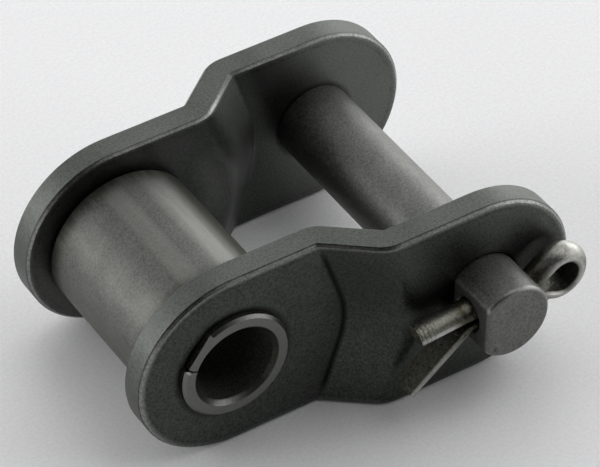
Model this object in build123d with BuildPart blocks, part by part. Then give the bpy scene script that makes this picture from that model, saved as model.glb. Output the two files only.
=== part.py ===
from build123d import *
import math
import os

# Cranked (offset) connecting link for a roller chain of 25.4 mm pitch.
#
# Frame: the origin lies on the bush axis, midway between the two plates.
# +X runs from the bush axis to the connecting pin, +Y to the far plate, +Z up.
# The near plate, with the split pin beside it, is on the -Y side.
# All lengths are in millimetres, all angles in degrees.

# ---- chain sizes -----------------------------------------------------------
pitch = 25.4                    # bush axis to pin axis
pin_diameter = 8.3
roller_diameter = 15.88
inner_width = 18.4              # between the plates beside the roller
plate_thickness = 2.9
plate_height = 20.6

# ---- crank of the plates ---------------------------------------------------
crank_offset = 4.25             # sideways step from the narrow to the wide end
crank_slope = 40.0              # angle of the step to the plate's flat ends
crease_reach = 12.2             # bush axis to the foot of the step, at mid-height
crease_radius = 9.5             # round nose of the crease around the bush
crease_sweep = 18.0             # lean of the straight creases above and below the nose
crease_round = 0.6              # radius in the bottom of both creases
bend_round = 3.4                # radius over both outside bends
rim_edge = 0.3                  # tumbled edge along both faces of the plate's outline

# ---- bush ------------------------------------------------------------------
running_clearance = 0.04        # radial, pin in bush bore
bush_wall = 1.7
bush_proud = 0.75               # length that stands out of each plate
bush_lead = 0.3                 # chamfer outside each end
bush_mouth = 0.45               # chamfer inside each end
seam_gap = 0.16                 # slit where the curled strip meets itself
seam_angle = 160.0              # slit's place around the bush, from +X towards +Z
curl_flat_depth = 0.62          # depth of the flat that the curling leaves before the slit
curl_flat_lead = 16.0           # angle from the middle of that flat to the slit

# ---- roller ----------------------------------------------------------------
roller_play = 0.08              # radial, roller on bush
roller_side_play = 0.3          # each side, roller to plate
roller_edge = 0.35              # chamfer on the roller's outer edges

# ---- connecting pin --------------------------------------------------------
pin_tail = 5.65                 # stands out of the near plate
pin_head = 1.1                  # stands out of the far plate
tail_relief = 0.05              # radial, tail slimmer than the rest of the pin
tail_edge = 0.5                 # radius on the tail end
head_edge = 0.6                 # chamfer on the closed end
flat_depth = 1.05               # locking flat, cut into the side towards the bush
flat_edge = 0.8                 # radius along both sides of the flat
cross_hole_diameter = 3.5
cross_hole_setback = 3.35       # hole axis to the pin's tail end
cross_hole_mouth = 0.2          # chamfer on both mouths of the cross hole
pin_hole_edge = 0.25            # broken edge of the pin's hole in the near plate

# ---- split pin -------------------------------------------------------------
wire_radius = 1.45              # the wire is half round, flat inside
wire_edge = 0.2                 # width of the bevel along both edges of its flat
wire_edge_angle = 12.0          # where that bevel meets the round back
leg_gap = 0.04                  # between the two flats where they meet
eye_radius = 1.7                # inside of the eye
eye_stand = 7.3                 # pin axis to the centre of the eye
eye_rise = 0.7                  # centre of the eye above the hole's line
eye_neck = 4.0                  # pin axis to where the legs part towards the eye
neck_bend = 2.6                 # radius where each leg turns into the eye
upper_leg_reach = 9.2           # pin axis to the tip of the straight leg
upper_leg_droop = 4.5           # angle of the straight leg below the hole's line
leg_bend = 6.0                  # radius where the straight leg droops
lower_leg_length = 8.8          # of the bent leg, from its corner to its tip
lower_leg_turn = 38.9           # angle of the bent leg below the hole's line
corner_stand = 0.6              # corner of each leg, in front of the locking flat
lower_leg_bend = 2.2            # radius of its bend, on the flat side

# ---- derived sizes ---------------------------------------------------------
pin_radius = pin_diameter / 2
bush_bore_radius = pin_radius + running_clearance
bush_radius = bush_bore_radius + bush_wall
roller_bore_radius = bush_radius + roller_play
narrow_inside = inner_width / 2
narrow_outside = narrow_inside + plate_thickness
wide_inside = narrow_inside + crank_offset
wide_outside = narrow_outside + crank_offset
step_run = crank_offset / math.tan(math.radians(crank_slope))
inner_shift = plate_thickness * math.tan(math.radians(crank_slope / 2))
nose_x = crease_reach - crease_radius
bush_end = narrow_outside + bush_proud
roller_length = inner_width - 2 * roller_side_play
tail_end = wide_outside + pin_tail
head_end = wide_outside + pin_head
flat_distance = pin_radius - flat_depth
cross_hole_radius = cross_hole_diameter / 2
cross_hole_y = -(tail_end - cross_hole_setback)
sheet_reach = pitch + plate_height      # spare length of the sheet before its outline is cut
leg_play = cross_hole_radius - wire_radius
flat_half_width = wire_radius * math.cos(math.radians(wire_edge_angle)) - wire_edge
bush_middle_radius = bush_bore_radius + bush_wall / 2
touch = 0.001                          # reach of a test for what lies on a face


def nose_plane(angle):
    """Plane through the nose's axis that leans by angle from +X towards +Z; its local y is +Y."""
    lean = math.radians(angle)
    return Plane((nose_x, 0, 0), (math.cos(lean), 0, math.sin(lean)), (-math.sin(lean), 0, math.cos(lean)))


# ---- plates ----------------------------------------------------------------
# Section across the crank, outwards from the nose's axis: flat, step up, flat, with rounded bends.
step_foot = crease_radius
step_top = crease_radius + step_run
with BuildSketch() as crank_section:
    with BuildLine():
        FilletPolyline(
            (-sheet_reach, narrow_inside),
            (step_foot + inner_shift, narrow_inside),
            (step_top + inner_shift, wide_inside),
            (sheet_reach, wide_inside),
            radius=(bend_round, crease_round),
        )
        Line((sheet_reach, wide_inside), (sheet_reach, wide_outside))
        FilletPolyline(
            (sheet_reach, wide_outside),
            (step_top, wide_outside),
            (step_foot, narrow_outside),
            (-sheet_reach, narrow_outside),
            radius=(bend_round, crease_round),
        )
        Line((-sheet_reach, narrow_outside), (-sheet_reach, narrow_inside))
    make_face()

# The sheet of one plate after cranking, on the +Y side, before its outline is cut: a straight flank
# above and below the bush, and between them a nose that is turned about its own axis.
with BuildPart() as cranked_sheet:
    for side in (1, -1):
        with BuildSketch(nose_plane(side * crease_sweep)):
            add(crank_section.sketch)
        extrude(amount=side * 2 * plate_height)
    with BuildSketch(nose_plane(-crease_sweep)):
        add(crank_section.sketch)
        with Locations((sheet_reach, wide_outside)):
            Rectangle(2 * sheet_reach, 2 * wide_outside, mode=Mode.INTERSECT)
    revolve(axis=Axis((nose_x, 0, 0), (0, -1, 0)), revolution_arc=2 * crease_sweep)


def from_bush_axis(point):
    """Distance of a point from the bush axis."""
    return math.hypot(point.X, point.Z)


def from_pin_axis(point):
    """Distance of a point from the connecting pin's axis."""
    return math.hypot(point.X - pitch, point.Z)


def rim_edges(part):
    """Edges along both faces of a plate's outline, without the seams that run through its thickness."""
    def on_rim(edge):
        point = edge @ 0.5
        spine_x = min(max(point.X, 0), pitch)
        reach = math.hypot(point.X - spine_x, point.Z)
        return abs(reach - plate_height / 2) < touch and abs((edge % 0.5).Y) < 1 - touch

    return part.edges().filter_by(on_rim)


# One plate without its holes: the sheet trimmed to a long round-ended outline, its rim broken.
with BuildPart() as plate_blank:
    with BuildSketch(Plane.XZ.offset(-narrow_inside)):
        with Locations((pitch / 2, 0)):
            SlotCenterToCenter(pitch, plate_height)
    extrude(amount=-(plate_thickness + crank_offset))
    add(cranked_sheet.part, mode=Mode.INTERSECT)
    chamfer(rim_edges(plate_blank.part), length=rim_edge)

# Far plate: a round hole for the bush and one for the closed end of the pin.
with BuildPart() as far_plate:
    add(plate_blank.part)
    with BuildSketch(Plane.XZ.offset(-narrow_inside)):
        Circle(bush_radius)
        with Locations((pitch, 0)):
            Circle(pin_radius)
    extrude(amount=-(plate_thickness + crank_offset), mode=Mode.SUBTRACT)

# Section of the pin's tail: a circle with the locking flat on the side towards the bush.
with BuildSketch() as tail_section:
    with Locations((pitch, 0)):
        Circle(pin_radius - tail_relief)
    with Locations((pitch + pin_radius - flat_distance, 0)):
        Rectangle(2 * pin_radius, 2 * pin_radius, mode=Mode.INTERSECT)
    fillet(tail_section.vertices(), radius=flat_edge)

# Near plate: the mirror image, with a pin hole of D shape that keeps the pin from turning.
with BuildPart() as near_plate:
    add(plate_blank.part.mirror(Plane.XZ))
    with BuildSketch(Plane.XZ.offset(narrow_inside)):
        Circle(bush_radius)
        add(tail_section.sketch)
    extrude(amount=plate_thickness + crank_offset, mode=Mode.SUBTRACT)
    outer_rims = near_plate.edges().filter_by_position(Axis.Y, -wide_outside, -wide_outside)
    pin_hole_rim = outer_rims.filter_by(lambda e: from_pin_axis(e @ 0.5) < pin_radius + pin_hole_edge)
    chamfer(pin_hole_rim, length=pin_hole_edge)


# ---- bush and roller -------------------------------------------------------
# Curled bush: a strip bent round until its two edges almost meet. Before the slit the strip stays
# a little flat. Both ends are chamfered inside and outside.
with BuildPart() as bush:
    with BuildSketch(Plane.XZ.offset(-bush_end)):
        Circle(bush_radius)
        Circle(bush_bore_radius, mode=Mode.SUBTRACT)
    extrude(amount=2 * bush_end)
    with BuildSketch(Plane.XZ.offset(-bush_end)):
        with Locations(Location((0, 0), seam_angle)):
            with Locations((0, -bush_radius)):
                Rectangle(4 * bush_radius, 2 * bush_radius)
        with Locations(Location((0, 0), seam_angle - curl_flat_lead)):
            with Locations((2 * bush_radius - curl_flat_depth, 0)):
                Rectangle(2 * bush_radius, 2 * bush_radius, mode=Mode.INTERSECT)
    extrude(amount=2 * bush_end, mode=Mode.SUBTRACT)
    for bush_face_y in (-bush_end, bush_end):
        end_edges = bush.edges().filter_by_position(Axis.Y, bush_face_y, bush_face_y)
        chamfer(end_edges.filter_by(lambda e: from_bush_axis(e @ 0.5) > bush_middle_radius), length=bush_lead)
        end_edges = bush.edges().filter_by_position(Axis.Y, bush_face_y, bush_face_y)
        mouth_edges = end_edges.filter_by(lambda e: from_bush_axis(e @ 0.5) < bush_bore_radius + touch)
        chamfer(mouth_edges, length=bush_mouth)
    with BuildSketch(Plane.XZ.offset(-bush_end)):
        with Locations(Location((0, 0), seam_angle)):
            with Locations((bush_middle_radius, 0)):
                Rectangle(2 * bush_wall, seam_gap)
    extrude(amount=2 * bush_end, mode=Mode.SUBTRACT)

# Roller: a plain sleeve that turns on the bush.
with BuildPart() as roller:
    with BuildSketch(Plane.XZ.offset(-roller_length / 2)):
        Circle(roller_diameter / 2)
        Circle(roller_bore_radius, mode=Mode.SUBTRACT)
    extrude(amount=roller_length)
    rings = roller.edges().filter_by(GeomType.CIRCLE)
    chamfer(rings.filter_by(lambda e: e.radius > roller_bore_radius + touch), length=roller_edge)


# ---- connecting pin --------------------------------------------------------
rim_probe = 0.3                 # place along an edge where it is tested
rim_lean = 0.9                  # share of X in the direction of the hole's own seam


def on_cross_hole(edge):
    """Whether an edge lies on the wall of the cross hole."""
    point = edge @ rim_probe
    return abs(math.hypot(point.Y - cross_hole_y, point.Z) - cross_hole_radius) < touch


# Round pin with a closed end beyond the far plate. From the near plate's inner face on it has the
# section of the tail, with a cross hole through the flat.
with BuildPart() as connecting_pin:
    with BuildSketch(Plane.XZ.offset(-head_end)):
        with Locations((pitch, 0)):
            Circle(pin_radius)
    extrude(amount=head_end + wide_inside)
    chamfer(connecting_pin.edges().filter_by(GeomType.CIRCLE).sort_by(Axis.Y)[-1], length=head_edge)
    with BuildSketch(Plane.XZ.offset(wide_inside)):
        add(tail_section.sketch)
    extrude(amount=tail_end - wide_inside)
    fillet(connecting_pin.edges().filter_by_position(Axis.Y, -tail_end, -tail_end), radius=tail_edge)
    with Locations(Location((pitch, cross_hole_y, 0), (0, 90, 0))):
        Hole(cross_hole_radius)
    mouth_rims = connecting_pin.edges().filter_by(on_cross_hole)
    chamfer(mouth_rims.filter_by(lambda e: abs((e % rim_probe).X) < rim_lean), length=cross_hole_mouth)


# ---- split pin -------------------------------------------------------------
# Half-round wire, folded with its flats together: an eye, a straight leg and a leg that is bent over.
# The springy legs bear on the top and the bottom of the cross hole.
# The route follows the flat side, from the tip of the straight leg round the eye to the other tip.
# Local x runs along the hole from the bush side to the eye, local y is up.
def eye_touch(neck_height, side):
    """Angle on the eye where the run from the neck, at neck_height, meets it above (1) or below (-1)."""
    run = eye_stand - eye_neck
    rise = eye_rise - neck_height
    opening = math.acos(eye_radius / math.hypot(run, rise))
    return 180 + math.degrees(math.atan2(rise, run) - side * opening)


def eye_point(angle):
    """Point on the inside of the eye at an angle."""
    turn = math.radians(angle)
    return (eye_stand + eye_radius * math.cos(turn), eye_rise + eye_radius * math.sin(turn))


droop = math.radians(upper_leg_droop)
turn_down = math.radians(lower_leg_turn)
leg_corner_x = -flat_distance - corner_stand
upper_tip_y = leg_play - (upper_leg_reach + leg_corner_x) * math.tan(droop)
lower_tip_x = leg_corner_x - lower_leg_length * math.cos(turn_down)
lower_tip_y = -leg_play - lower_leg_length * math.sin(turn_down)
lower_neck_y = leg_play - leg_gap
eye_start = eye_touch(leg_play, 1)
eye_end = eye_touch(lower_neck_y, -1)
split_pin_plane = Plane((pitch, cross_hole_y, 0), (1, 0, 0), (0, -1, 0))

with BuildLine(split_pin_plane) as wire_route:
    FilletPolyline(
        (-upper_leg_reach, upper_tip_y),
        (leg_corner_x, leg_play),
        (eye_neck, leg_play),
        eye_point(eye_start),
        radius=(leg_bend, neck_bend),
    )
    CenterArc((eye_stand, eye_rise), eye_radius, eye_start, eye_end - 360 - eye_start)
    FilletPolyline(
        eye_point(eye_end),
        (eye_neck, lower_neck_y),
        (leg_corner_x, -leg_play),
        (lower_tip_x, lower_tip_y),
        radius=(neck_bend, lower_leg_bend),
    )

with BuildPart() as split_pin:
    with BuildSketch(Plane(wire_route.line @ 0, (0, 1, 0), wire_route.line % 0)):
        with BuildLine():
            round_back = CenterArc((0, 0), wire_radius, wire_edge_angle, 180 - 2 * wire_edge_angle)
            Polyline(round_back @ 1, (-flat_half_width, 0), (flat_half_width, 0), round_back @ 0)
        make_face()
    sweep(path=wire_route.line)


# ---- export ----------------------------------------------------------------
os.makedirs("parts", exist_ok=True)
pieces = {
    "near_plate": near_plate,
    "far_plate": far_plate,
    "bush": bush,
    "roller": roller,
    "connecting_pin": connecting_pin,
    "split_pin": split_pin,
}
for piece_name, piece in pieces.items():
    piece.part.label = piece_name
    export_step(piece.part, f"parts/{piece_name}.step")
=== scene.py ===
"""Studio scene of a cranked roller-chain connecting link with its half-round split pin."""

import logging
import math
from dataclasses import dataclass, field
from enum import Enum
from typing import Mapping, Sequence, Union

import bpy
from mathutils import Matrix, Vector


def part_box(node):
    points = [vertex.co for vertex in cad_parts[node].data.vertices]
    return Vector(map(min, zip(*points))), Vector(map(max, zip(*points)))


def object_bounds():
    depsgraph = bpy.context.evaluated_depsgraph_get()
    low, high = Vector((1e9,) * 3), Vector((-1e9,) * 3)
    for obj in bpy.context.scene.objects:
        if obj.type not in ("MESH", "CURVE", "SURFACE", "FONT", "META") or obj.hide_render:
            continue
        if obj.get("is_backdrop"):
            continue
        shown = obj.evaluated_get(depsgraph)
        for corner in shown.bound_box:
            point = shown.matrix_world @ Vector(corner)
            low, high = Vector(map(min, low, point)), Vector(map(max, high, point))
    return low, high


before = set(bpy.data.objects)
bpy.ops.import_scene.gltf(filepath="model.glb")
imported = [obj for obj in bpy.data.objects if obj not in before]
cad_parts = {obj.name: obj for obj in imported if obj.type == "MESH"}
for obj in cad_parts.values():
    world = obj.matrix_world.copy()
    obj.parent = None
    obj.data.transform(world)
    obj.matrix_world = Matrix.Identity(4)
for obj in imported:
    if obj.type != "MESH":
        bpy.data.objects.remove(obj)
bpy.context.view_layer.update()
log = logging.getLogger("chain_link")

Colour = tuple[float, float, float]
MM = 0.001                      # one millimetre in metres
NOISE_MIDDLE = 0.5              # level around which a noise lies
MIX_FIRST, MIX_SECOND = 6, 7    # places of a Mix node's two colour inputs
MIX_RESULT = 2                  # place of its colour output


class Sum(Enum):
    """The sums that a Math node is used for."""

    ADD = "ADD"
    SUBTRACT = "SUBTRACT"
    MULTIPLY = "MULTIPLY"
    DIVIDE = "DIVIDE"
    ROOT = "SQRT"
    SIZE = "ABSOLUTE"
    SMALLER = "MINIMUM"
    LARGER = "MAXIMUM"
    ABOVE = "GREATER_THAN"
    SINE = "SINE"


class Signal:
    """One value socket that takes part in Python sums; each sum adds a Math node."""

    def __init__(self, graph: "Graph", socket: bpy.types.NodeSocket) -> None:
        """Keeps the socket and the graph that it belongs to."""
        self.graph = graph
        self.socket = socket

    def __add__(self, other: "Number") -> "Signal":
        """self + other."""
        return self.graph.sum(Sum.ADD, self, other)

    __radd__ = __add__

    def __sub__(self, other: "Number") -> "Signal":
        """self - other."""
        return self.graph.sum(Sum.SUBTRACT, self, other)

    def __rsub__(self, other: "Number") -> "Signal":
        """other - self."""
        return self.graph.sum(Sum.SUBTRACT, other, self)

    def __mul__(self, other: "Number") -> "Signal":
        """self * other."""
        return self.graph.sum(Sum.MULTIPLY, self, other)

    __rmul__ = __mul__

    def __truediv__(self, other: "Number") -> "Signal":
        """self / other."""
        return self.graph.sum(Sum.DIVIDE, self, other)

    def __abs__(self) -> "Signal":
        """Size of self without its sign."""
        return self.graph.sum(Sum.SIZE, self)

    def __neg__(self) -> "Signal":
        """self with its sign turned."""
        return self.graph.sum(Sum.MULTIPLY, self, -1.0)

    def at_least(self, floor: "Number") -> "Signal":
        """The larger of self and floor."""
        return self.graph.sum(Sum.LARGER, self, floor)

    def at_most(self, ceiling: "Number") -> "Signal":
        """The smaller of self and ceiling."""
        return self.graph.sum(Sum.SMALLER, self, ceiling)

    def above(self, level: "Number") -> "Signal":
        """1 where self is above level, else 0."""
        return self.graph.sum(Sum.ABOVE, self, level)

    def sine(self) -> "Signal":
        """Sine of self, in radians."""
        return self.graph.sum(Sum.SINE, self)

    def root(self) -> "Signal":
        """Square root of self."""
        return self.graph.sum(Sum.ROOT, self)

    def starting_at(self, low: float) -> "Signal":
        """Self, a signal from 0 to 1, squeezed to run from low to 1."""
        return low + (1.0 - low) * self

    def rise(self, start: float, end: float) -> "Signal":
        """Smooth step over self.

        Args:
            start: Value of self at which the step is 0.
            end: Value of self at which the step is 1; it may be below start.

        Returns:
            A signal from 0 to 1.
        """
        step = self.graph.node(
            "ShaderNodeMapRange",
            {"interpolation_type": "SMOOTHSTEP"},
            {"Value": self, "From Min": start, "From Max": end, "To Min": 0.0, "To Max": 1.0},
        )
        return Signal(self.graph, step.outputs["Result"])


Number = Union[float, Signal]


@dataclass(frozen=True)
class Noise:
    """Lumps of noise over a surface."""

    size: float                 # width of the largest lumps, in millimetres
    detail: float               # number of finer octaves
    roughness: float            # how strong the finer octaves are
    stretch: float = 1.0        # how many times longer the lumps are along the bush axis


class Graph:
    """The node tree of one material or world, with every length in millimetres of the part's own frame."""

    def __init__(self, name: str, world: bool = False) -> None:
        """Makes an empty tree.

        Args:
            name: Name of the material or world that owns the tree.
            world: Whether it is a world, whose place is a direction, or else a material.
        """
        self.owner = bpy.data.worlds.new(name) if world else bpy.data.materials.new(name)
        self.owner.use_nodes = True
        self.tree = self.owner.node_tree
        self.tree.nodes.clear()
        given = self.node("ShaderNodeTexCoord", {}, {}).outputs["Generated" if world else "Object"]
        scaled = self.node("ShaderNodeVectorMath", {"operation": "SCALE"}, {"Vector": given, "Scale": 1 / MM})
        self.place = scaled.outputs["Vector"]
        axes = self.node("ShaderNodeSeparateXYZ", {}, {"Vector": self.place}).outputs
        self.x, self.y, self.z = (Signal(self, axis) for axis in axes)

    def node(
        self, kind: str, settings: Mapping[str, object], inputs: Mapping[Union[int, str], object]
    ) -> bpy.types.Node:
        """Adds a node to the tree.

        Args:
            kind: Blender's node type.
            settings: Attributes of the node, set before its sockets.
            inputs: Value, colour or link for each socket, by name or place.

        Returns:
            The new node.
        """
        node = self.tree.nodes.new(kind)
        for setting, choice in settings.items():
            setattr(node, setting, choice)
        for socket, value in inputs.items():
            if isinstance(value, Signal):
                self.tree.links.new(value.socket, node.inputs[socket])
            elif isinstance(value, bpy.types.NodeSocket):
                self.tree.links.new(value, node.inputs[socket])
            else:
                node.inputs[socket].default_value = value
        return node

    def sum(self, operation: Sum, *terms: Number) -> Signal:
        """Adds a Math node over one or two terms and returns its result."""
        node = self.node("ShaderNodeMath", {"operation": operation.value}, dict(enumerate(terms)))
        return Signal(self, node.outputs[0])

    def mix(self, share: Number, first: object, second: object) -> bpy.types.NodeSocket:
        """Blends two colours, each of them a tuple or a socket.

        Args:
            share: 0 gives the first colour and 1 the second.
            first: The first colour.
            second: The second colour.

        Returns:
            The socket of the blended colour.
        """
        node = self.node(
            "ShaderNodeMix",
            {"data_type": "RGBA"},
            {0: share, MIX_FIRST: self.colour(first), MIX_SECOND: self.colour(second)},
        )
        return node.outputs[MIX_RESULT]

    def colour(self, tone: object) -> object:
        """A colour as a socket takes it: a tuple gets its alpha, a link stays as it is."""
        return (*tone, 1.0) if isinstance(tone, tuple) else tone

    def noise(self, noise: Noise) -> Signal:
        """Draws a noise over the surface.

        Args:
            noise: The size and character of its lumps.

        Returns:
            A signal around NOISE_MIDDLE.
        """
        shrink = (1.0, 1 / noise.stretch, 1.0)
        drawn = self.node("ShaderNodeVectorMath", {"operation": "MULTIPLY"}, {0: self.place, 1: shrink})
        texture = self.node(
            "ShaderNodeTexNoise",
            {},
            {
                "Vector": drawn.outputs["Vector"],
                "Scale": 1 / noise.size,
                "Detail": noise.detail,
                "Roughness": noise.roughness,
            },
        )
        return Signal(self, texture.outputs["Fac"])

    def distance(self, across: Number, up: Number) -> Signal:
        """Length of the vector (across, up)."""
        return (across * across + up * up).root()

    def facing_far(self) -> Signal:
        """Reads which way the surface faces.

        Returns:
            The share of its direction that lies along +Y, from -1 to 1.
        """
        normal = self.node("ShaderNodeNewGeometry", {}, {}).outputs["Normal"]
        axes = self.node("ShaderNodeSeparateXYZ", {}, {"Vector": normal}).outputs
        return Signal(self, axes["Y"])

    def seen(self) -> Signal:
        """Tells apart the rays that show the surroundings from those that only light the part.

        Returns:
            1 on rays that reach the camera straight or by way of metal or glass, else 0.
        """
        rays = self.node("ShaderNodeLightPath", {}, {}).outputs
        straight, mirrored, through = (
            Signal(self, rays[kind]) for kind in ("Is Camera Ray", "Is Glossy Ray", "Is Transmission Ray")
        )
        return straight.at_least(mirrored).at_least(through)


@dataclass(frozen=True)
class Fade:
    """A smooth passage: 0 where a signal is at start, 1 where it is at end."""

    start: float
    end: float

    def over(self, signal: Signal, base: float = 0.0) -> Signal:
        """The passage over a signal, with start and end counted from base."""
        return signal.rise(base + self.start, base + self.end)


@dataclass(frozen=True)
class Stripe:
    """A soft stripe: 1 where a signal is at middle, 0 from half_width away."""

    middle: float
    half_width: float

    def over(self, signal: Signal, base: float = 0.0) -> Signal:
        """The stripe over a signal, with middle counted from base."""
        return abs(signal - (base + self.middle)).rise(self.half_width, 0.0)


@dataclass(frozen=True)
class Speckle:
    """A noise whose levels are cut to a passage from 0 to 1."""

    noise: Noise
    cut: Fade

    def over(self, graph: Graph) -> Signal:
        """The speckle over a graph's surface."""
        return self.cut.over(graph.noise(self.noise))


@dataclass(frozen=True)
class SteelFinish:
    """A satin steel surface: two tones mixed by clouds and grain, a brighter tone for wear and painted
    highlights, a dark one for dirt and painted shade.
    """

    name: str
    tone: Colour
    deep_tone: Colour
    # the next tone serves wear and painted highlights; the one after it serves dirt and painted shade
    wear_and_highlight_tone: Colour
    grime_and_shade_tone: Colour = (0.008, 0.009, 0.007)
    metallic: float = 1.0
    roughness: float = 0.45
    worn_roughness: float = 0.35
    dull_roughness: float = 0.75
    clouds: Noise = Noise(4.0, 3.0, 0.6)
    cloud_contrast: float = 0.45
    cloud_gloss: float = 0.2            # fall of roughness in the paler clouds
    grain: Noise = Noise(0.24, 2.0, 0.65)
    grain_contrast: float = 2.6
    grain_dullness: float = 0.3         # rise of roughness on the paler grains
    grain_height: float = 0.012         # in millimetres

    def shade(
        self,
        graph: Graph,
        brightening: Number,
        darkening: Number,
        height: Number = 0.0,
        dull: Number = 0.0,
        bare: Number = 1.0,
    ) -> bpy.types.Material:
        """Builds the finish in a graph.

        Args:
            graph: The node tree that receives it.
            brightening: 1 where the surface is bright from wear, and where a highlight is painted on.
            darkening: 1 where oil and dirt have gathered, and where shade is painted on.
            height: Extra relief, in millimetres.
            dull: 1 where the surface is rough and has no sheen.
            bare: 1 on bare metal, less where a film of dust and oil covers it.

        Returns:
            The finished material.
        """
        clouds = graph.noise(self.clouds) - NOISE_MIDDLE
        grain = graph.noise(self.grain) - NOISE_MIDDLE
        share = NOISE_MIDDLE + clouds * self.cloud_contrast + grain * self.grain_contrast
        skin = graph.mix(share.at_least(0.0).at_most(1.0), self.deep_tone, self.tone)
        brightened = graph.mix(brightening, skin, self.wear_and_highlight_tone)
        darkened = graph.mix(darkening, brightened, self.grime_and_shade_tone)
        gloss = self.roughness - clouds * self.cloud_gloss + grain * self.grain_dullness
        gloss = gloss + (self.worn_roughness - gloss) * brightening
        gloss = gloss + (self.dull_roughness - gloss) * dull
        relief = graph.node(
            "ShaderNodeBump",
            {},
            {"Strength": 1.0, "Distance": MM, "Height": grain * self.grain_height + height},
        )
        surface = graph.node(
            "ShaderNodeBsdfPrincipled",
            {},
            {
                "Base Color": darkened,
                "Metallic": bare * self.metallic,
                "Roughness": gloss,
                "Normal": relief.outputs["Normal"],
            },
        )
        graph.node("ShaderNodeOutputMaterial", {}, {"Surface": surface.outputs["BSDF"]})
        return graph.owner


BUSH_STEEL = SteelFinish(
    "bush_steel",
    tone=(0.1, 0.1, 0.088),
    deep_tone=(0.036, 0.036, 0.028),
    wear_and_highlight_tone=(0.165, 0.167, 0.157),
)
ROLLER_STEEL = SteelFinish(
    "roller_steel",
    tone=(0.158, 0.16, 0.15),
    deep_tone=(0.078, 0.079, 0.073),
    wear_and_highlight_tone=(0.26, 0.26, 0.245),
    grime_and_shade_tone=(0.03, 0.028, 0.02),
    roughness=0.55,
    worn_roughness=0.5,
)
PIN_STEEL = SteelFinish(
    "pin_steel",
    tone=(0.196, 0.198, 0.188),
    deep_tone=(0.1, 0.102, 0.095),
    wear_and_highlight_tone=(0.245, 0.245, 0.235),
    roughness=0.5,
)
PLATE_STEEL = SteelFinish(
    "plate_steel",
    tone=(0.088, 0.095, 0.086),
    deep_tone=(0.036, 0.04, 0.036),
    wear_and_highlight_tone=(0.55, 0.555, 0.54),
    roughness=0.36,
)
WIRE_STEEL = SteelFinish(
    "wire_steel",
    tone=(0.31, 0.31, 0.285),
    deep_tone=(0.12, 0.118, 0.09),
    wear_and_highlight_tone=(0.5, 0.5, 0.49),
    grime_and_shade_tone=(0.045, 0.04, 0.022),
    roughness=0.44,
    grain_contrast=2.2,
)


def dress(node: str, material: bpy.types.Material) -> None:
    """Puts a material on every slot of a CAD node, and reports it.

    Args:
        node: Name of the CAD node.
        material: The finished material.
    """
    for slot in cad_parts[node].material_slots:
        slot.material = material
    log.info("dressed %s", node)


def size_of(node: str) -> tuple[Vector, Vector]:
    """Lowest and highest corner of a CAD node, in millimetres."""
    low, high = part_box(node)
    return Vector(low) / MM, Vector(high) / MM


@dataclass
class Bush:
    """The curled bush. Lengths are in millimetres."""

    finish: SteelFinish
    wall: float = 1.7
    end_depth: Fade = Fade(-0.5, -0.3)          # depth of the end faces, from the bush's end
    end_facing: Fade = Fade(0.3, 0.6)           # share of the surface's direction along the axis
    end_start: Fade = Fade(0.32, 0.5)           # from the bore's radius
    lip_highlight: Fade = Fade(-2.0, -4.0)          # height of the mouth's lower part, where a highlight is painted on
    lip_highlight_share: float = 0.7
    bore_depth: Fade = Fade(0.2, 0.05)          # from the bore's radius
    bore_facing: Fade = Fade(0.5, 0.1)
    mouth_depth: Fade = Fade(0.5, 0.4)          # from the bore's radius
    mouth_facing: Fade = Fade(0.2, 0.5)
    mouth_shade_height: Fade = Fade(-4.4, -3.2)
    speckle: Speckle = Speckle(Noise(0.3, 2.0, 0.6), Fade(0.3, 0.6))
    even_brightening: float = 0.82                     # brightening of the end faces, and of the painted highlight low in the mouth, without their speckle
    speckle_wear: float = 0.35
    # painted shade in the bore; oil and painted shade on the mouth
    bore_shade: float = 0.05
    mouth_oil_and_shade: float = 0.55
    radius: float = field(init=False)
    bore_radius: float = field(init=False)
    end: float = field(init=False)

    def __post_init__(self) -> None:
        """Reads the bush's sizes from the frame."""
        high = size_of("bush")[1]
        self.radius = high.x
        self.bore_radius = self.radius - self.wall
        self.end = high.y

    def dress(self) -> None:
        """Dresses the bush: bright end faces with a painted highlight low in the mouth, dull proud sides,
        painted shade in the bore, and oil with painted shade on the mouth.
        """
        graph = Graph(self.finish.name)
        reach = graph.distance(graph.x, graph.z)
        facing = abs(graph.facing_far())
        end_face = self.end_depth.over(abs(graph.y), self.end) * self.end_facing.over(facing)
        # a highlight is painted on the mouth's lower part, where the end faces' pale tone reaches into it
        lip_highlight = self.lip_highlight.over(graph.z) * self.lip_highlight_share
        end_face = end_face * self.end_start.over(reach, self.bore_radius).at_least(lip_highlight)
        # painted shade in the bore; oil and painted shade on the mouth, left off its lowest part
        bore = self.bore_depth.over(reach, self.bore_radius) * self.bore_facing.over(facing)
        mouth = self.mouth_depth.over(reach, self.bore_radius) * self.mouth_facing.over(facing)
        mouth = mouth * self.mouth_shade_height.over(graph.z)
        brightening = end_face * (self.even_brightening + self.speckle_wear * self.speckle.over(graph))
        darkening = (bore * self.bore_shade).at_least(mouth * self.mouth_oil_and_shade)
        dress("bush", self.finish.shade(graph, brightening, darkening, dull=bore))


@dataclass(frozen=True)
class SideBand:
    """A band along the roller, on the side that looks in one direction."""

    angle: float                # of that direction, from +X towards +Z, in degrees
    closeness: Fade             # cosine of the angle between it and a point, round the axis

    def over(self, graph: Graph, reach: Signal) -> Signal:
        """Draws the band.

        Args:
            graph: The roller's node tree.
            reach: Distance from the roller's axis.

        Returns:
            1 in the band's middle, 0 outside it.
        """
        turn = math.radians(self.angle)
        cosine = (graph.x * math.cos(turn) + graph.z * math.sin(turn)) / reach
        return self.closeness.over(cosine)


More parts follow.
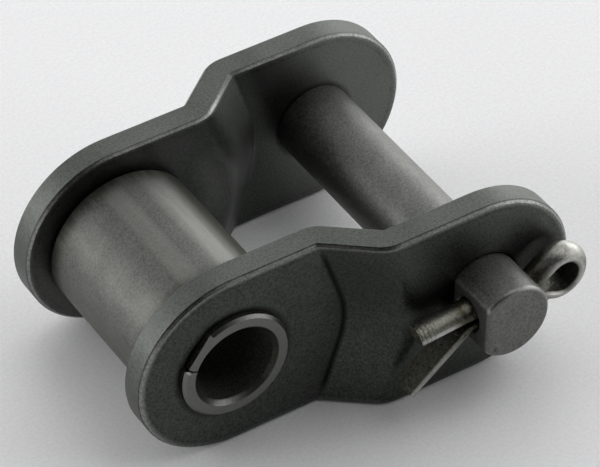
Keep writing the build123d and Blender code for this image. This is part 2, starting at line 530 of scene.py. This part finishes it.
@dataclass
class Roller:
    """The roller that turns on the bush. Lengths are in millimetres."""

    finish: SteelFinish
    streaks: Speckle = Speckle(Noise(1.1, 3.0, 0.6, stretch=12.0), Fade(0.35, 0.65))
    # painted highlights: pale bands along the sides where the lamps glint
    broad_highlight_band: SideBand = SideBand(67.0, Fade(0.955, 0.998))
    narrow_highlight_band: SideBand = SideBand(102.0, Fade(0.985, 0.999))
    narrow_highlight_share: float = 0.6
    # painted shade: dark bands along the sides that show as the roller's left and right edges
    lower_side_shade: SideBand = SideBand(210.0, Fade(0.86, 0.99))
    upper_side_shade: SideBand = SideBand(30.0, Fade(0.8, 0.98))
    end_oil_and_shade: Fade = Fade(-2.8, -0.5)            # oil and painted shade next to the plates, from the roller's end
    end_oil_and_shade_even: float = 0.5                   # share of the ends' oil and painted shade outside the streaks
    # strength of the painted shade on the sides, and of the oil and painted shade at the ends
    lower_side_shade_share: float = 0.12
    upper_side_shade_share: float = 0.85
    end_oil_and_shade_share: float = 0.85
    streak_grime: float = 0.1
    even_brightening: float = 0.35                     # strength of the painted highlight bands outside the streaks
    streak_highlight: float = 0.3
    end: float = field(init=False)

    def __post_init__(self) -> None:
        """Reads the roller's end from the frame."""
        self.end = size_of("roller")[1].y

    def dress(self) -> None:
        """Dresses the roller: streaky satin skin, two painted highlight bands, painted shade along two sides,
        oil and painted shade at both ends.
        """
        graph = Graph(self.finish.name)
        reach = graph.distance(graph.x, graph.z)
        streaks = self.streaks.over(graph)
        # painted highlight bands, brighter along the streaks
        highlight_bands = self.broad_highlight_band.over(graph, reach)
        highlight_bands = highlight_bands.at_least(self.narrow_highlight_band.over(graph, reach) * self.narrow_highlight_share)
        # painted shade along the sides that form the roller's edges in view
        lower_side_shade = self.lower_side_shade.over(graph, reach) * self.lower_side_shade_share
        upper_side_shade = self.upper_side_shade.over(graph, reach) * self.upper_side_shade_share
        end_oil_and_shade = self.end_oil_and_shade.over(abs(graph.y), self.end) * streaks.starting_at(self.end_oil_and_shade_even)
        darkening = lower_side_shade.at_least(upper_side_shade).at_least(end_oil_and_shade * self.end_oil_and_shade_share)
        darkening = darkening.at_least(streaks * self.streak_grime)
        brightening = highlight_bands * (self.even_brightening + self.streak_highlight * streaks)
        dress("roller", self.finish.shade(graph, brightening, darkening))


@dataclass
class ConnectingPin:
    """The round pin with its locking flat and cross hole. Lengths are in millimetres."""

    finish: SteelFinish
    tail_face: Fade = Fade(-0.4, -0.2)          # from the tail's end
    edge: Stripe = Stripe(-0.15, 0.3)           # from the pin's radius
    edge_wear: float = 0.7
    ring_share: float = 0.35                    # radius of the turned ring, as a share of the pin's
    ring: Stripe = Stripe(0.0, 0.3)
    ring_height: float = 0.015
    dent_x: float = 23.2
    dent_z: float = -2.5
    dent: Fade = Fade(0.3, 0.12)                # from the dent's middle
    dent_depth: float = 0.08
    dent_grime: float = 0.5
    pitch: float = field(init=False)
    radius: float = field(init=False)
    tail_end: float = field(init=False)

    def __post_init__(self) -> None:
        """Reads the pin's place and size from the frame."""
        low, high = size_of("connecting_pin")
        self.radius = (high.z - low.z) / 2
        self.pitch = high.x - self.radius
        self.tail_end = -low.y

    def dress(self) -> None:
        """Dresses the pin: rubbed tail edge, a small dent and a faint turned ring on the end face."""
        graph = Graph(self.finish.name)
        reach = graph.distance(graph.x - self.pitch, graph.z)
        tail = self.tail_face.over(-graph.y, self.tail_end)
        edge = tail * self.edge.over(reach, self.radius)
        ring = tail * self.ring.over(reach, self.radius * self.ring_share)
        dent = tail * self.dent.over(graph.distance(graph.x - self.dent_x, graph.z - self.dent_z))
        relief = ring * self.ring_height - dent * self.dent_depth
        brightening = edge * self.edge_wear
        darkening = dent * self.dent_grime
        dress("connecting_pin", self.finish.shade(graph, brightening, darkening, relief))


@dataclass
class SidePlates:
    """The two cranked plates, near and far. Lengths are in millimetres."""

    finish: SteelFinish
    pitch: float
    bush_radius: float
    pin_radius: float

    inner_side: Fade = Fade(0.1, -0.1)          # how far the surface faces outwards
    chips: Speckle = Speckle(Noise(0.28, 2.0, 0.6), Fade(0.36, 0.62))
    patches: Speckle = Speckle(Noise(0.5, 3.0, 0.7), Fade(0.36, 0.58))

    # the rim of both faces, with wear and a painted highlight, by distance inwards from the outline
    cut_edge: Fade = Fade(0.06, 0.0)            # the sheared edge itself
    rim_width: float = 0.3
    rim_start: Fade = Fade(0.04, 0.14)
    rim_end: Fade = Fade(0.5, -0.05)            # from rim_width
    rollover: Stripe = Stripe(0.6, 0.25)        # painted shade in a dark line past the rim, where the edge rolls over into a slight dip, from rim_width
    rim_even: float = 0.45                      # the rim without its chips
    rim_chips: float = 0.4
    rim_highlight_low: float = 0.3                        # share of the rim's painted highlight that is left low down, where the edge faces away from the light
    rim_highlight_height: Fade = Fade(-9.0, -3.0)         # height over which it comes back

    # the crease at the foot of the step and the step itself, on the outer faces
    crease_reach: float = 12.2                  # bush axis to the crease at mid-height
    crease_radius: float = 9.5                  # of the crease's round nose
    crease_sweep: float = 18.0                  # lean of the crease's flanks, in degrees
    crease_shade_line: Stripe = Stripe(0.1, 0.5)      # painted shade along the crease, from crease_radius
    crease_ends: Fade = Fade(10.2, 7.5)         # height at which it dies out
    outer_ramp: Fade = Fade(0.0, 0.8)           # from crease_radius
    outer_ramp_end: Fade = Fade(21.0, 18.0)

    # the step on the inner faces
    slope_middle: float = 15.2
    slope: Stripe = Stripe(0.0, 3.6)            # from slope_middle
    ridge_radius: float = 10.55                 # nose's axis to the edge of the step
    ridge: Stripe = Stripe(-2.2, 2.6)           # painted highlight before the step, from ridge_radius
    ridge_height: Stripe = Stripe(2.0, 7.5)
    ramp_start: Fade = Fade(-0.2, 2.2)          # from ridge_radius
    ramp_end: Fade = Fade(7.5, 5.5)             # from ridge_radius
    ramp_low: float = 0.35                      # share of the ramp's dust that is left low down
    ramp_height: Fade = Fade(-6.0, 4.0)

    # painted reflection, brightening the inner faces away from their shaded middle and the outer faces' far
    # ends
    wide_end_sheen: Fade = Fade(2.0, 12.0)            # from slope_middle
    wide_top_height: Fade = Fade(2.0, 9.0)
    wide_top_reach: Fade = Fade(1.0, 5.0)       # from slope_middle
    narrow_border: Fade = Fade(7.5, 2.0)        # distance inwards from the outline
    narrow_reach: Fade = Fade(13.0, 5.0)
    outer_end_sheen: Fade = Fade(24.0, 31.0)
    outer_end_sheen_share: float = 0.3

    # oil and painted shade round the bush and the pin, where they meet the plates
    bush_ring: Fade = Fade(0.8, 0.1)            # from bush_radius
    pin_ring: Fade = Fade(0.7, 0.1)             # from pin_radius

    # how much each of them counts
    bush_ring_oil_and_shade: float = 0.7
    pin_ring_oil_and_shade: float = 0.6
    rollover_shade: float = 0.35
    outer_ramp_darkening: float = 0.16
    rim_brightening: float = 0.48
    edge_wear: float = 0.022
    edge_chip_wear: float = 0.025
    sheen_brightening: float = 0.12
    edge_dullness: float = 0.35
    ramp_dullness: float = 0.4
    ramp_dust: float = 0.28

    half_height: float = field(init=False)

    def __post_init__(self) -> None:
        """Reads the plates' height from the frame."""
        low, high = size_of("near_plate")
        self.half_height = (high.z - low.z) / 2

    def inset(self, graph: Graph) -> Signal:
        """Distance inwards from the plates' outline."""
        spine = graph.x.at_least(0.0).at_most(self.pitch)
        return self.half_height - graph.distance(graph.x - spine, graph.z)

    def crease_distance(self, graph: Graph) -> Signal:
        """Measures how far out a point lies, along lines that have the crease's shape.

        Args:
            graph: The plate's node tree.

        Returns:
            Distance from the nose's axis to the crease line that runs through the point.
        """
        sweep = math.radians(self.crease_sweep)
        ahead = graph.x - (self.crease_reach - self.crease_radius)
        beside = abs(graph.z)
        flank = ahead * math.cos(sweep) + beside * math.sin(sweep)
        on_flank = (beside - ahead.at_least(0.0) * math.tan(sweep)).above(0.0)
        nose = graph.distance(ahead, graph.z)
        return nose + (flank - nose) * on_flank

    def bright_rim(self, graph: Graph, inset: Signal, inside: Signal, chips: Signal) -> Signal:
        """Draws the line of wear and painted highlight along the outline of both faces.

        Args:
            graph: The plate's node tree.
            inset: Distance inwards from the outline.
            inside: 1 on the inner face.
            chips: Small chips in the line.

        Returns:
            The line, weaker low down where the edge faces away from the light, and gone on the inner side of
            the step.
        """
        on_slope = self.slope.over(graph.x, self.slope_middle) * inside
        line = self.rim_start.over(inset) * self.rim_end.over(inset, self.rim_width)
        line = line * (self.rim_even + self.rim_chips * chips) * (1.0 - on_slope)
        return line * self.rim_highlight_height.over(graph.z).starting_at(self.rim_highlight_low)

    def inner_sheen(self, graph: Graph, inset: Signal, from_nose: Signal, inside: Signal) -> Signal:
        """Finds where a painted reflection brightens the inner face.

        Args:
            graph: The plate's node tree.
            inset: Distance inwards from the outline.
            from_nose: Distance given by crease_distance.
            inside: 1 on the inner face.

        Returns:
            1 round the pin, along the narrow end's border and on the ridge before the step.
        """
        wide_top = self.wide_top_height.over(graph.z) * self.wide_top_reach.over(graph.x, self.slope_middle)
        wide_end = self.wide_end_sheen.over(graph.x, self.slope_middle).at_least(wide_top)
        narrow_border = self.narrow_border.over(inset) * self.narrow_reach.over(graph.x)
        ridge = self.ridge.over(from_nose, self.ridge_radius) * self.ridge_height.over(graph.z) * inside
        return wide_end.at_least(narrow_border).at_least(ridge) * inside

    def dusty_ramp(self, graph: Graph, from_nose: Signal, inside: Signal) -> Signal:
        """Finds the film of dust on the inner side of the step.

        Args:
            graph: The plate's node tree.
            from_nose: Distance given by crease_distance.
            inside: 1 on the inner face.

        Returns:
            The film, thinner low down.
        """
        film = self.ramp_start.over(from_nose, self.ridge_radius)
        film = film * self.ramp_end.over(from_nose, self.ridge_radius) * inside
        return film * self.ramp_height.over(graph.z).starting_at(self.ramp_low)

    def oil(self, graph: Graph, inset: Signal, from_nose: Signal, outside: Signal) -> Signal:
        """Finds the oil, the painted shade and the other darkening on both faces.

        Args:
            graph: The plate's node tree.
            inset: Distance inwards from the outline.
            from_nose: Distance given by crease_distance.
            outside: 1 on the outer face.

        Returns:
            The strongest of the painted shade in the crease, the oil and painted shade round the bush and the
            pin, the painted shade in the line past the rim and the darkening on the outer side of the step.
        """
        # painted shade in the line past the rim
        rollover = self.rollover.over(inset, self.rim_width) * (1.0 - self.patches.over(graph))
        # painted shade along the crease on the outer face
        crease = self.crease_shade_line.over(from_nose, self.crease_radius) * outside
        crease = crease * self.crease_ends.over(abs(graph.z))
        # oil and painted shade round the bush and the pin
        bush_ring = self.bush_ring.over(graph.distance(graph.x, graph.z), self.bush_radius)
        pin_ring = self.pin_ring.over(graph.distance(graph.x - self.pitch, graph.z), self.pin_radius)
        # darker on the outer side of the step
        outer_ramp = self.outer_ramp.over(from_nose, self.crease_radius) * outside
        outer_ramp = outer_ramp * self.outer_ramp_end.over(graph.x)
        darkening = crease.at_least(bush_ring * self.bush_ring_oil_and_shade).at_least(pin_ring * self.pin_ring_oil_and_shade)
        darkening = darkening.at_least(rollover * self.rollover_shade)
        return darkening.at_least(outer_ramp * self.outer_ramp_darkening)

    def dress(self) -> None:
        """Dresses both plates: rims with wear and a painted highlight, painted reflection on the faces, dusty
        steps, painted shade in the creases, and oil with painted shade.
        """
        for node, outward in (("near_plate", -1.0), ("far_plate", 1.0)):
            graph = Graph(f"{self.finish.name}_{node}")
            inset = self.inset(graph)
            inside = self.inner_side.over(graph.facing_far() * outward)
            outside = 1.0 - inside
            chips = self.chips.over(graph)
            cut_edge = self.cut_edge.over(inset)
            from_nose = self.crease_distance(graph)
            ramp = self.dusty_ramp(graph, from_nose, inside)
            # painted reflection on the inner faces and at the outer faces' far ends
            brightened = self.inner_sheen(graph, inset, from_nose, inside)
            brightened = brightened.at_least(self.outer_end_sheen.over(graph.x) * outside * self.outer_end_sheen_share)
            # wear with a painted highlight along the rims
            brightening = self.bright_rim(graph, inset, inside, chips) * self.rim_brightening
            brightening = brightening.at_least(cut_edge * (self.edge_wear + self.edge_chip_wear * chips))
            brightening = brightening.at_least(brightened * self.sheen_brightening)
            darkening = self.oil(graph, inset, from_nose, outside)
            dull = (cut_edge * self.edge_dullness).at_least(ramp * self.ramp_dullness)
            bare = 1.0 - ramp * self.ramp_dust
            dress(node, self.finish.shade(graph, brightening, darkening, dull=dull, bare=bare))


@dataclass
class SplitPin:
    """The half-round wire, folded into an eye and two legs. Lengths are in millimetres."""

    finish: SteelFinish
    pitch: float
    pin_radius: float

    # the eye
    eye_stand: float = 7.3                      # pin axis to the eye's centre
    eye_rise: float = 0.7                       # height of the eye's centre
    eye_radius: float = 1.7
    eye_flat: Fade = Fade(0.2, 0.06)            # from eye_radius
    # painted highlight on the eye's top
    eye_top_reach: Fade = Fade(5.0, 7.0)        # from the pin axis
    eye_top_height: Fade = Fade(1.4, 2.6)

    # the legs
    corner_x: float = 21.7                      # corner at which the lower leg is bent
    corner_z: float = -0.3
    leg_turn: float = 38.9                      # lean of the lower leg, in degrees
    leg_flat: Fade = Fade(0.16, 0.06)           # distance from the lower leg's flat side
    leg_flat_start: Fade = Fade(0.3, -0.6)      # from corner_x
    edge: Fade = Fade(-0.2, -0.05)              # from the wire's half width
    parting: Stripe = Stripe(0.0, 0.45)         # height of the upper leg's flat side, which faces down: its edges get no painted highlight
    parting_start: Fade = Fade(0.0, -1.0)       # from corner_x
    by_pin: Fade = Fade(2.3, 0.1)               # from pin_radius

    # the shear marks at the upper leg's tip
    tip_x: float = 16.2
    shear_density: float = 14.0                 # radians of the wave in each millimetre
    shear_waver: float = 1.5
    shear_cut: Fade = Fade(0.1, 0.8)
    shear_reach: Fade = Fade(2.2, 0.4)          # from tip_x
    shear_height: Fade = Fade(-0.6, -0.2)
    shear_depth: float = 0.03

    patches: Speckle = Speckle(Noise(0.6, 3.0, 0.7), Fade(0.38, 0.62))
    pits: Speckle = Speckle(Noise(0.35, 2.0, 0.6), Fade(0.42, 0.34))
    pit_depth: float = 0.04

    # how much each of them counts
    pin_grime: float = 0.45
    pin_patch_grime: float = 0.45
    flat_grime: float = 0.14
    flat_patch_grime: float = 0.3
    shear_grime: float = 0.5
    flat_pit_grime: float = 0.9
    pit_grime: float = 0.35
    edge_cleanness: float = 0.7
    # wear with a painted highlight on the edges
    edge_wear: float = 0.75
    edge_wear_loss: float = 0.6                 # fall of the edges' wear by the pin
    edge_even: float = 0.6                      # share of the edges' wear outside the patches
    # strength of the painted highlight on the eye's top
    eye_highlight: float = 0.25
    eye_patch_highlight: float = 0.2

    middle: float = field(init=False)
    half_width: float = field(init=False)

    def __post_init__(self) -> None:
        """Reads the wire's place and width from the frame."""
        low, high = size_of("split_pin")
        self.middle = (low.y + high.y) / 2
        self.half_width = (high.y - low.y) / 2

    def lower_flat(self, graph: Graph) -> Signal:
        """Finds the flat side of the bent leg, which faces up.

        Args:
            graph: The wire's node tree.

        Returns:
            1 on that side.
        """
        turn = math.radians(self.leg_turn)
        depth = (graph.z - self.corner_z) * math.cos(turn) + (self.corner_x - graph.x) * math.sin(turn)
        return self.leg_flat.over(abs(depth)) * self.leg_flat_start.over(graph.x, self.corner_x)

    def eye_inside(self, graph: Graph) -> Signal:
        """The flat side inside the eye."""
        eye = graph.distance(graph.x - self.pitch - self.eye_stand, graph.z - self.eye_rise)
        return self.eye_flat.over(eye, self.eye_radius)

    def edges(self, graph: Graph) -> Signal:
        """Finds both edges of the wire, which carry wear and a painted highlight.

        Args:
            graph: The wire's node tree.

        Returns:
            1 on the edges, but not on those of the upper leg's flat side, which faces down.
        """
        edge = self.edge.over(abs(graph.y - self.middle), self.half_width)
        parting = self.parting.over(graph.z) * self.parting_start.over(graph.x, self.corner_x)
        return edge * (1.0 - parting)

    def shear_marks(self, graph: Graph, patchy: Signal) -> Signal:
        """Finds the fine lines across the upper leg's tip, where the wire was cut off.

        Args:
            graph: The wire's node tree.
            patchy: Patches that make the lines waver.

        Returns:
            1 in the lines.
        """
        wave = (graph.x * self.shear_density + patchy * self.shear_waver).sine()
        lines = self.shear_cut.over(wave) * self.shear_reach.over(graph.x, self.tip_x)
        return lines * self.shear_height.over(graph.z)

    def dress(self) -> None:
        """Dresses the wire: edges with wear and a painted highlight, a painted highlight on the eye's top,
        brown oil by the pin and on the flats, shear marks at the tip.
        """
        graph = Graph(self.finish.name)
        patchy = self.patches.over(graph)
        pits = self.pits.over(graph)
        by_pin = self.by_pin.over(abs(graph.x - self.pitch), self.pin_radius)
        flats = self.lower_flat(graph).at_least(self.eye_inside(graph))
        edges = self.edges(graph)
        shear = self.shear_marks(graph, patchy)
        darkening = by_pin * (self.pin_grime + self.pin_patch_grime * patchy)
        darkening = darkening.at_least(flats * (self.flat_grime + self.flat_patch_grime * patchy))
        darkening = darkening.at_least(shear * self.shear_grime)
        darkening = darkening.at_least(pits * (flats * self.flat_pit_grime).at_least(self.pit_grime))
        darkening = darkening * (1.0 - edges * (1.0 - by_pin) * self.edge_cleanness)
        # painted highlight on the eye's top
        eye_top_highlight = self.eye_top_reach.over(graph.x, self.pitch) * self.eye_top_height.over(graph.z)
        brightening = edges * (self.edge_wear - self.edge_wear_loss * by_pin) * patchy.starting_at(self.edge_even)
        brightening = brightening.at_least(eye_top_highlight * (self.eye_highlight + self.eye_patch_highlight * patchy))
        relief = shear * -self.shear_depth - pits * flats * self.pit_depth
        dress("split_pin", self.finish.shade(graph, brightening, darkening, relief))


@dataclass(frozen=True)
class Lamp:
    """A soft square lamp that looks at the part from a direction, in degrees of the part's frame."""

    name: str
    azimuth: float              # from +X towards +Y
    elevation: float
    power: float                # in watts

    def direction(self) -> Vector:
        """Works out where the lamp stands.

        Returns:
            Unit vector from the part to the lamp.
        """
        turn = math.radians(self.azimuth)
        rise = math.radians(self.elevation)
        return Vector((math.cos(turn) * math.cos(rise), math.sin(turn) * math.cos(rise), math.sin(rise)))


@dataclass
class Studio:
    """Floor, lamps, world and camera. Places are in metres."""

    floor_level: float = field(init=False)
    target: Vector = field(default_factory=lambda: Vector((0.0127, 0.0, 0.0)))
    camera_place: Vector = field(default_factory=lambda: Vector((-0.12555, -0.22065, 0.23678)))
    camera_right: Vector = field(default_factory=lambda: Vector((0.843110, -0.537741, -0.0000815)))
    camera_down: Vector = field(default_factory=lambda: Vector((-0.361106, -0.566056, -0.741068)))
    camera_near: float = 0.01
    lens: float = 216.135           # in millimetres, as sensor_width
    sensor_width: float = 36.0
    floor_half_width: float = 6.0
    floor_tone: Colour = (0.8, 0.8, 0.81)
    floor_roughness: float = 0.6
    floor_speckle: Speckle = Speckle(Noise(0.35, 2.0, 0.6), Fade(0.25, 0.75))
    speckle_shares: tuple[float, float] = (0.96, 1.05)      # darkest and palest, as shares of floor_tone
    floor_haze: Fade = Fade(90.0, 210.0)    # millimetres out, from the floor's tone to the room's
    room_tone: Colour = (0.78, 0.78, 0.785)
    night_tone: Colour = (0.0, 0.0, 0.0)    # of the room above its haze
    room_haze: Fade = Fade(0.14, 0.08)      # sine of the height, down to where the haze is full
    lamp_distance: float = 0.7
    lamp_width: float = 0.5
    lamps: Sequence[Lamp] = (
        Lamp("back_top_softbox", 57.5, 62, 0.75),
        Lamp("right_top_softbox", -32.5, 62, 1.17),
        Lamp("left_top_softbox", 147.5, 62, 0.46),
        Lamp("back_left_softbox", 102.5, 36, 0.48),
        Lamp("back_low_softbox", 57.5, 14, 2.23),
        Lamp("corner_low_softbox", 12.5, 14, 3.45),
        Lamp("right_low_softbox", -32.5, 14, 1.43),
        Lamp("front_left_low_softbox", -167.5, 14, 0.95),
        Lamp("left_low_softbox", 147.5, 14, 2.86),
        Lamp("back_left_low_softbox", 102.5, 14, 0.93),
    )

    def __post_init__(self) -> None:
        """The floor lies under the plates' lower edges."""
        self.floor_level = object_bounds()[0][2]

    def build_camera(self) -> None:
        """Builds the camera, with its axes given by the picture's right and down."""
        data = bpy.data.cameras.new("studio_camera")
        data.sensor_fit = "HORIZONTAL"
        data.sensor_width = self.sensor_width
        data.lens = self.lens
        data.clip_start = self.camera_near
        camera = bpy.data.objects.new("studio_camera", data)
        up = -self.camera_down
        back = self.camera_right.cross(up)
        turn = Matrix((self.camera_right, up, back)).transposed().to_4x4()
        camera.matrix_world = Matrix.Translation(self.camera_place) @ turn
        bpy.context.scene.collection.objects.link(camera)
        bpy.context.scene.camera = camera

    def floor_material(self) -> bpy.types.Material:
        """Builds the floor's speckled surface and the haze over its far parts.

        Returns:
            The finished material.
        """
        graph = Graph("pale_floor")
        dark, pale = (tuple(share * level for level in self.floor_tone) for share in self.speckle_shares)
        tone = graph.mix(self.floor_speckle.over(graph), dark, pale)
        surface = graph.node(
            "ShaderNodeBsdfPrincipled", {}, {"Base Color": tone, "Roughness": self.floor_roughness}
        )
        far_off = self.floor_haze.over(graph.distance(graph.x, graph.y))
        haze = graph.node("ShaderNodeEmission", {}, {"Color": (*self.room_tone, 1.0), "Strength": 1.0})
        faded = graph.node(
            "ShaderNodeMixShader",
            {},
            {0: graph.seen() * far_off, 1: surface.outputs["BSDF"], 2: haze.outputs["Emission"]},
        )
        graph.node("ShaderNodeOutputMaterial", {}, {"Surface": faded.outputs["Shader"]})
        return graph.owner

    def build_floor(self) -> None:
        """Builds a wide pale floor, which passes into the room's tone far off."""
        half = self.floor_half_width
        corners = [(-half, -half, 0.0), (half, -half, 0.0), (half, half, 0.0), (-half, half, 0.0)]
        mesh = bpy.data.meshes.new("studio_floor")
        mesh.from_pydata(corners, [], [(0, 1, 2, 3)])
        floor = bpy.data.objects.new("studio_floor", mesh)
        floor.location.z = self.floor_level
        bpy.context.scene.collection.objects.link(floor)
        mesh.materials.append(self.floor_material())
        floor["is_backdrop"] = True

    def build_lamps(self) -> None:
        """Builds the soft lamps, each turned to the part."""
        for lamp in self.lamps:
            light = bpy.data.lights.new(lamp.name, "AREA")
            light.shape = "SQUARE"
            light.size = self.lamp_width
            light.energy = lamp.power
            holder = bpy.data.objects.new(lamp.name, light)
            holder.location = self.target + self.lamp_distance * lamp.direction()
            holder.rotation_euler = (-lamp.direction()).to_track_quat("-Z", "Y").to_euler()
            bpy.context.scene.collection.objects.link(holder)

    def build_world(self) -> None:
        """Builds a dark room with a low pale haze, which shows to the camera and in the metal."""
        graph = Graph("studio_room", world=True)
        low = self.room_haze.over(graph.z * MM)
        dark, pale = (
            graph.node("ShaderNodeBackground", {}, {"Color": (*tone, 1.0)}).outputs["Background"]
            for tone in (self.night_tone, self.room_tone)
        )
        chosen = graph.node("ShaderNodeMixShader", {}, {0: graph.seen() * low, 1: dark, 2: pale})
        graph.node("ShaderNodeOutputWorld", {}, {"Surface": chosen.outputs["Shader"]})
        bpy.context.scene.world = graph.owner
        bpy.context.scene.view_settings.view_transform = "Standard"

    def build(self) -> None:
        """Builds the whole studio."""
        self.build_camera()
        self.build_floor()
        self.build_lamps()
        self.build_world()
        log.info("built studio")


def main() -> None:
    """Builds the studio and dresses every piece."""
    logging.basicConfig(level=logging.INFO, format="%(message)s")
    Studio().build()
    bush = Bush(BUSH_STEEL)
    bush.dress()
    Roller(ROLLER_STEEL).dress()
    pin = ConnectingPin(PIN_STEEL)
    pin.dress()
    SidePlates(PLATE_STEEL, pin.pitch, bush.radius, pin.radius).dress()
    SplitPin(WIRE_STEEL, pin.pitch, pin.radius).dress()


if __name__ == "__main__":
    main()
